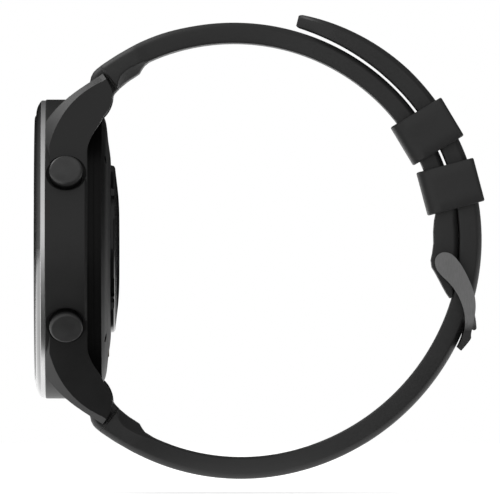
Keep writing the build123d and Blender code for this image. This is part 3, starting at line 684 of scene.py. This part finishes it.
# Rungs of a strap root from the band towards the lug, on the 12 o'clock side:
# outer point, where the side ends, inner point, half width there and half width of the inner block.
root_rungs = [
    ((2.30, 31.27), (3.68, 28.60), (3.90, 28.25), 12.95, 12.40),
    ((1.75, 30.97), (3.05, 28.30), (3.45, 27.62), 13.0, 11.90),
    ((1.20, 30.66), (2.40, 28.00), (3.08, 26.95), 13.0, 11.60),
    ((0.30, 30.14), (1.60, 27.60), (2.35, 26.45), 13.0, 11.55),
    ((-0.58, 29.62), (0.95, 27.12), (1.55, 25.95), 13.0, 11.50),
    ((-1.45, 29.05), (0.48, 26.60), (0.95, 25.50), 13.0, 11.45),
    ((-2.25, 28.52), (0.17, 25.75), (0.35, 25.00), 13.0, 11.90),
    ((-2.76, 28.16), (-0.06, 24.95), (-0.03, 24.68), 13.0, 12.40),
    ((-2.90, 28.06), (-0.16, 24.72), (-0.13, 24.54), 12.85, 12.20),
    ((-3.00, 27.98), (-0.40, 25.30), (-0.30, 24.36), 11.1, 10.60),
    ((-3.50, 27.60), (-0.60, 25.10), (-0.55, 24.10), 10.95, 10.55),
    ((-3.95, 27.12), (-0.75, 24.60), (-0.80, 23.80), 10.95, 10.55),
    ((-4.30, 26.45), (-0.95, 24.05), (-1.0, 23.40), 10.95, 10.55),
    ((-4.47, 25.70), (-1.10, 23.35), (-1.15, 22.85), 10.95, 10.60),
    ((-4.50, 24.80), (-1.50, 22.50), (-1.52, 22.36), 10.95, 10.65),
    ((-4.50, 23.75), (-2.10, 21.97), (-2.12, 21.95), 10.95, 10.65),
    ((-4.38, 23.0), (-2.75, 21.86), (-2.77, 21.85), 10.9, 10.60),
    ((-4.18, 22.62), (-3.05, 21.92), (-3.06, 21.92), 10.75, 10.45),
]


def root_rings(side):
    rings = []
    for outer, side_end, inner, width, block in root_rungs:
        points = [Vector((y, side * z)) for y, z in (outer, side_end, inner)]
        rings.append(strap_ring(*points, width, block))
    return rings


layer_relief = 0.08
layer_squeeze = 0.17
part_angle = 14.0


def ease(share):
    """0 to 1, level at both ends."""
    share = min(1.0, max(0.0, share))
    return share * share * (3 - 2 * share)


def relief(point):
    """How much thinner a band is where it faces the other layer, by its angle about the loop centre.

    Past the lower keeper the layers part a little. Between that keeper and the buckle the value is
    negative, and they lie against each other.
    """
    across = point - loop_centre
    angle = math.degrees(math.atan2(across.y, across.x))
    opened = ease((angle - part_angle) / 5.0) * ease((112.0 - angle) / 10.0)
    closed = ease((part_angle - angle) / 4.0) * ease((angle + 9.0) / 5.0)
    return layer_relief * opened - layer_squeeze * closed


def band_ring(point, heading, outer_share, inner_share):
    outer = point - inward(heading) * (half - outer_share * relief(point))
    inner = point + inward(heading) * (half - inner_share * relief(point))
    width = plan_half_width(point.x)
    return strap_ring(outer, inner, inner, width, width - inner_flat)


band_step = 0.9


def band_rings(start, heading, runs, first, last, outer_share=0.0, inner_share=0.0):
    count = round((last - first) / band_step)
    rings = []
    for number in range(count + 1):
        point, turned = chain_at(start, heading, runs, first + (last - first) * number / count)
        rings.append(band_ring(point, turned, outer_share, inner_share))
    return rings


def slot_outline(length, width, grow, steps=10):
    """Outline of a round-ended slot, grown outwards by a margin."""
    radius = width / 2 + grow
    straight = length / 2 - width / 2
    outline = []
    for end in (1, -1):
        for number in range(steps + 1):
            turn = math.pi * (number / steps - 0.5) + (0.0 if end > 0 else math.pi)
            outline.append((end * straight + radius * math.cos(turn), radius * math.sin(turn)))
    return outline


hole_length = 6.4
hole_width = 3.2
hole_pitch = 8.4
hole_count = 10
tongue_hole_angle = -13.6
tongue_hole_number = 5
rim_profile = [(-0.5, 0.75), (0.0, 0.27), (0.07, 0.13), (0.18, 0.04), (0.32, 0.0)]


def hole_cutter(number, place, heading, deep):
    """Cutter for one strap hole, flared at both faces so that the rims come out rounded."""
    along = heading_line(heading)
    out = -inward(heading)
    levels = [(deep / 2 - depth, grow) for depth, grow in rim_profile]
    levels += [(-height, grow) for height, grow in reversed(levels)]
    rings = []
    for height, grow in levels:
        ring = []
        for s, x in slot_outline(hole_length, hole_width, grow):
            spot = place + along * s + out * height
            ring.append((x, spot.x, spot.y))
        rings.append(ring)
    return mesh_object(f"hole_cutter_{number}", *loft(rings))


def prism(name, outline, low, high):
    """Prism across the watch, from a side outline and two places along X."""
    return mesh_object(name, *loft([[(x, y, z) for y, z in outline] for x in (low, high)]))


lever_window_span = (3.2, 7.0)


def lever_window(side):
    """Cutter for the opening in a strap root through which the release lever is reached."""
    outline = [(lug_pin[0], 22.4), (0.8, 21.2), (0.8, 25.6), (lug_pin[0], 24.8)]
    return prism("lever_window", [(y, side * z) for y, z in outline], *lever_window_span)


# ---------------------------------------------------------------- hole strap (6 o'clock)
hole_root_length = 9.3
tail_steps = 26
tail_crowding = 1.35
tail_angle = 76.0
tail_corner = 6.5
tail_ease = 0.22
tail_ease_length = 0.35
tail_outer_radii = (36.55, 36.1)      # about the loop centre, half way along and at the tip
tail_inner_radii = (33.80, 34.12)


def arc_through(first, middle, last, share):
    """Point at a share of the way along the arc through three points."""
    a, b, c = first, middle, last
    d = 2 * (a.x * (b.y - c.y) + b.x * (c.y - a.y) + c.x * (a.y - b.y))
    aa, bb, cc = a.length_squared, b.length_squared, c.length_squared
    x = (aa * (b.y - c.y) + bb * (c.y - a.y) + cc * (a.y - b.y)) / d
    y = (aa * (c.x - b.x) + bb * (a.x - c.x) + cc * (b.x - a.x)) / d
    centre = Vector((x, y))
    start = math.atan2(a.y - y, a.x - x)
    end = math.atan2(c.y - y, c.x - x)
    radius = (a - centre).length
    turn = start + (end - start) * share
    return centre + radius * Vector((math.cos(turn), math.sin(turn)))


def tail_arc(base_radius, radii, share):
    """Point along one face of the tail, which lifts away from the layer under it."""
    middle, tip = radii
    return arc_through(loop_point(base_radius, keeper_arc_end),
                       loop_point(middle, (keeper_arc_end + tail_angle) / 2),
                       loop_point(tip, tail_angle), share)


def tail_rings():
    """Rings of the tail, closer together towards its round-cornered tip."""
    rings = []
    tail_length = math.radians(tail_angle - keeper_arc_end) * outer_radius
    for number in range(1, tail_steps + 1):
        share = 1 - (1 - number / tail_steps) ** tail_crowding
        outer = tail_arc(outer_radius + half, tail_outer_radii, share)
        inner = tail_arc(outer_radius - half + layer_relief, tail_inner_radii, share)
        left = tail_length * (1 - share)
        width = band_half
        if left < tail_corner:
            width = band_half - tail_corner + math.sqrt(tail_corner ** 2 - (tail_corner - left) ** 2)
        thin = (outer - inner).length / strap_thick
        pinch = tail_ease * max(0.0, 1 - left / tail_ease_length)
        deep = (inner - outer).normalized()
        outer, inner = outer + deep * pinch, inner - deep * pinch
        rings.append(strap_ring(outer, inner, inner, width - pinch, width - inner_flat - pinch,
                                min(1.0, thin)))
    return rings


def make_hole_strap():
    end = loop_point(outer_radius, keeper_arc_end)
    start, heading = chain_start(end, math.radians(keeper_arc_end + 90), hole_runs)
    total = sum(length for length, radius in hole_runs)
    rings = list(reversed(root_rings(-1)))
    rings += band_rings(start, heading, hole_runs, hole_root_length, total, inner_share=1.0)
    rings += tail_rings()
    strap = mesh_object("hole_strap", *loft(rings))
    tongue_hole = total - math.radians(keeper_arc_end - tongue_hole_angle) * outer_radius
    cutters = [lever_window(-1)]
    for number in range(hole_count):
        distance = tongue_hole + (number - tongue_hole_number) * hole_pitch
        place, turn = chain_at(start, heading, hole_runs, distance)
        cutters.append(hole_cutter(number, place, turn, strap_thick))
    carve(strap, cutters)
    return strap


# ---------------------------------------------------------------- buckle strap (12 o'clock)
# Rungs of the free end, from the band down to the lip under the buckle pin: outer and inner point.
end_rungs = [((51.99, 4.53), (48.44, 4.25)), ((52.10, 2.80), (48.32, 2.65)), ((52.15, 1.0), (48.36, 0.85)),
             ((52.12, -0.5), (48.16, -0.7)), ((52.0, -1.55), (47.93, -1.75)), ((51.88, -2.6), (48.08, -2.85)),
             ((51.74, -3.6), (48.66, -3.8)), ((51.6, -4.6), (49.22, -4.85)), ((51.50, -5.5), (49.72, -5.8)),
             ((51.40, -6.4), (50.24, -6.75)), ((51.30, -7.0), (50.62, -7.3)), ((51.22, -7.35), (50.82, -7.58))]
end_rungs_angle = 8.0
buckle_root_length = 9.2
tongue_slot_half = 1.45


def make_buckle_strap():
    start = loop_point(loop_radius, buckle_end_angle)
    heading = math.radians(buckle_end_angle + 90)
    total = sum(length for length, radius in buckle_runs)
    first = math.radians(end_rungs_angle - buckle_end_angle) * loop_radius
    rings = []
    for outer, inner in reversed(end_rungs):
        scale = min(1.0, (Vector(outer) - Vector(inner)).length / strap_thick)
        rings.append(strap_ring(Vector(outer), Vector(inner), Vector(inner), band_half,
                                band_half - inner_flat, scale))
    rings += band_rings(start, heading, buckle_runs, first, total - buckle_root_length, outer_share=1.0)
    rings += root_rings(1)
    strap = mesh_object("buckle_strap", *loft(rings))
    mouth = [(46.0, -9.0), (46.0, -0.9), (46.9, 0.0), (53.2, 0.0), (54.0, -0.9), (54.0, -9.0)]
    carve(strap, [lever_window(1), prism("tongue_slot", mouth, -tongue_slot_half, tongue_slot_half)])
    return strap


# ---------------------------------------------------------------- keepers
keeper_low = 28.67
keeper_high = 37.6
keeper_length = 6.85
keeper_half_width = 11.3
keeper_inner_corner = 2.3
keeper_outer_corner = 0.7
keeper_bore_half_width = 10.2
keeper_bore_corner = 0.4
keeper_slack_inside = 0.17
keeper_slack_outside = 0.15
fixed_keeper_angle = 14.9
sliding_keeper_angle = 30.9
keeper_edges = [(0.0, 0.20), (0.05, 0.09), (0.20, 0.0)]


def rounded_box(half_x, low, high, low_radius, high_radius, steps=7):
    """Round-cornered rectangle in (x, radius from the loop centre), anticlockwise."""
    corners = [(half_x - high_radius, high - high_radius, high_radius, 0),
               (-half_x + high_radius, high - high_radius, high_radius, 90),
               (-half_x + low_radius, low + low_radius, low_radius, 180),
               (half_x - low_radius, low + low_radius, low_radius, 270)]
    outline = []
    for x, y, radius, begin in corners:
        for number in range(steps + 1):
            turn = math.radians(begin + 90 * number / steps)
            outline.append((x + radius * math.cos(turn), y + radius * math.sin(turn)))
    return outline


def make_keeper(name, angle):
    """Band of TPU round both layers, straight along its length, with softened rims."""
    out = heading_line(math.radians(angle))
    along = Vector((-out.y, out.x))
    stations = [(-keeper_length / 2 + depth, inset) for depth, inset in keeper_edges]
    middle = [(keeper_length * (share - 0.5), 0.0) for share in (0.25, 0.5, 0.75)]
    stations = stations + middle + [(-place, inset) for place, inset in reversed(stations)]
    shells = []
    for shell in ("outside", "inside"):
        rings = []
        for place, inset in stations:
            if shell == "outside":
                outline = rounded_box(keeper_half_width - inset, keeper_low + inset, keeper_high - inset,
                                      keeper_inner_corner, keeper_outer_corner)
            else:
                low = math.sqrt((loop_radius - half - keeper_slack_inside) ** 2 - place ** 2)
                high = math.sqrt((outer_radius + half + keeper_slack_outside) ** 2 - place ** 2)
                outline = rounded_box(keeper_bore_half_width + inset, low - inset, high + inset,
                                      keeper_bore_corner, keeper_bore_corner)
            ring = []
            for x, radius in outline:
                spot = loop_centre + out * radius + along * place
                ring.append((x, spot.x, spot.y))
            rings.append(ring)
        shells.append(rings)
    count = len(shells[0][0])
    rows = len(stations)
    points = [point for rings in shells for ring in rings for point in ring]
    faces = []
    for shell in range(2):
        for row in range(rows - 1):
            for place in range(count):
                base = (shell * rows + row) * count
                after = (place + 1) % count
                faces.append((base + place, base + after, base + count + after, base + count + place))
    for row in (0, rows - 1):
        for place in range(count):
            after = (place + 1) % count
            outer_base = row * count
            inner_base = (rows + row) * count
            faces.append((outer_base + place, outer_base + after, inner_base + after, inner_base + place))
    return mesh_object(name, points, faces)


# ---------------------------------------------------------------- assembly
dress_frame()
buckle_strap = make_buckle_strap()
hole_strap = make_hole_strap()
fixed_keeper = make_keeper("fixed_loop", fixed_keeper_angle)
sliding_keeper = make_keeper("sliding_loop", sliding_keeper_angle)
for piece in (buckle_strap, hole_strap, fixed_keeper, sliding_keeper):
    piece.data.materials.clear()
    piece.data.materials.append(materials["strap_tpu"])

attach(buckle_strap, "band")
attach(fixed_keeper, "band")
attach(sliding_keeper, "keeper")
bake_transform(hole_strap)
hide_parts("strap_12")
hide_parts("strap_6")
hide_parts("keeper_fixed")
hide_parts("keeper_sliding")
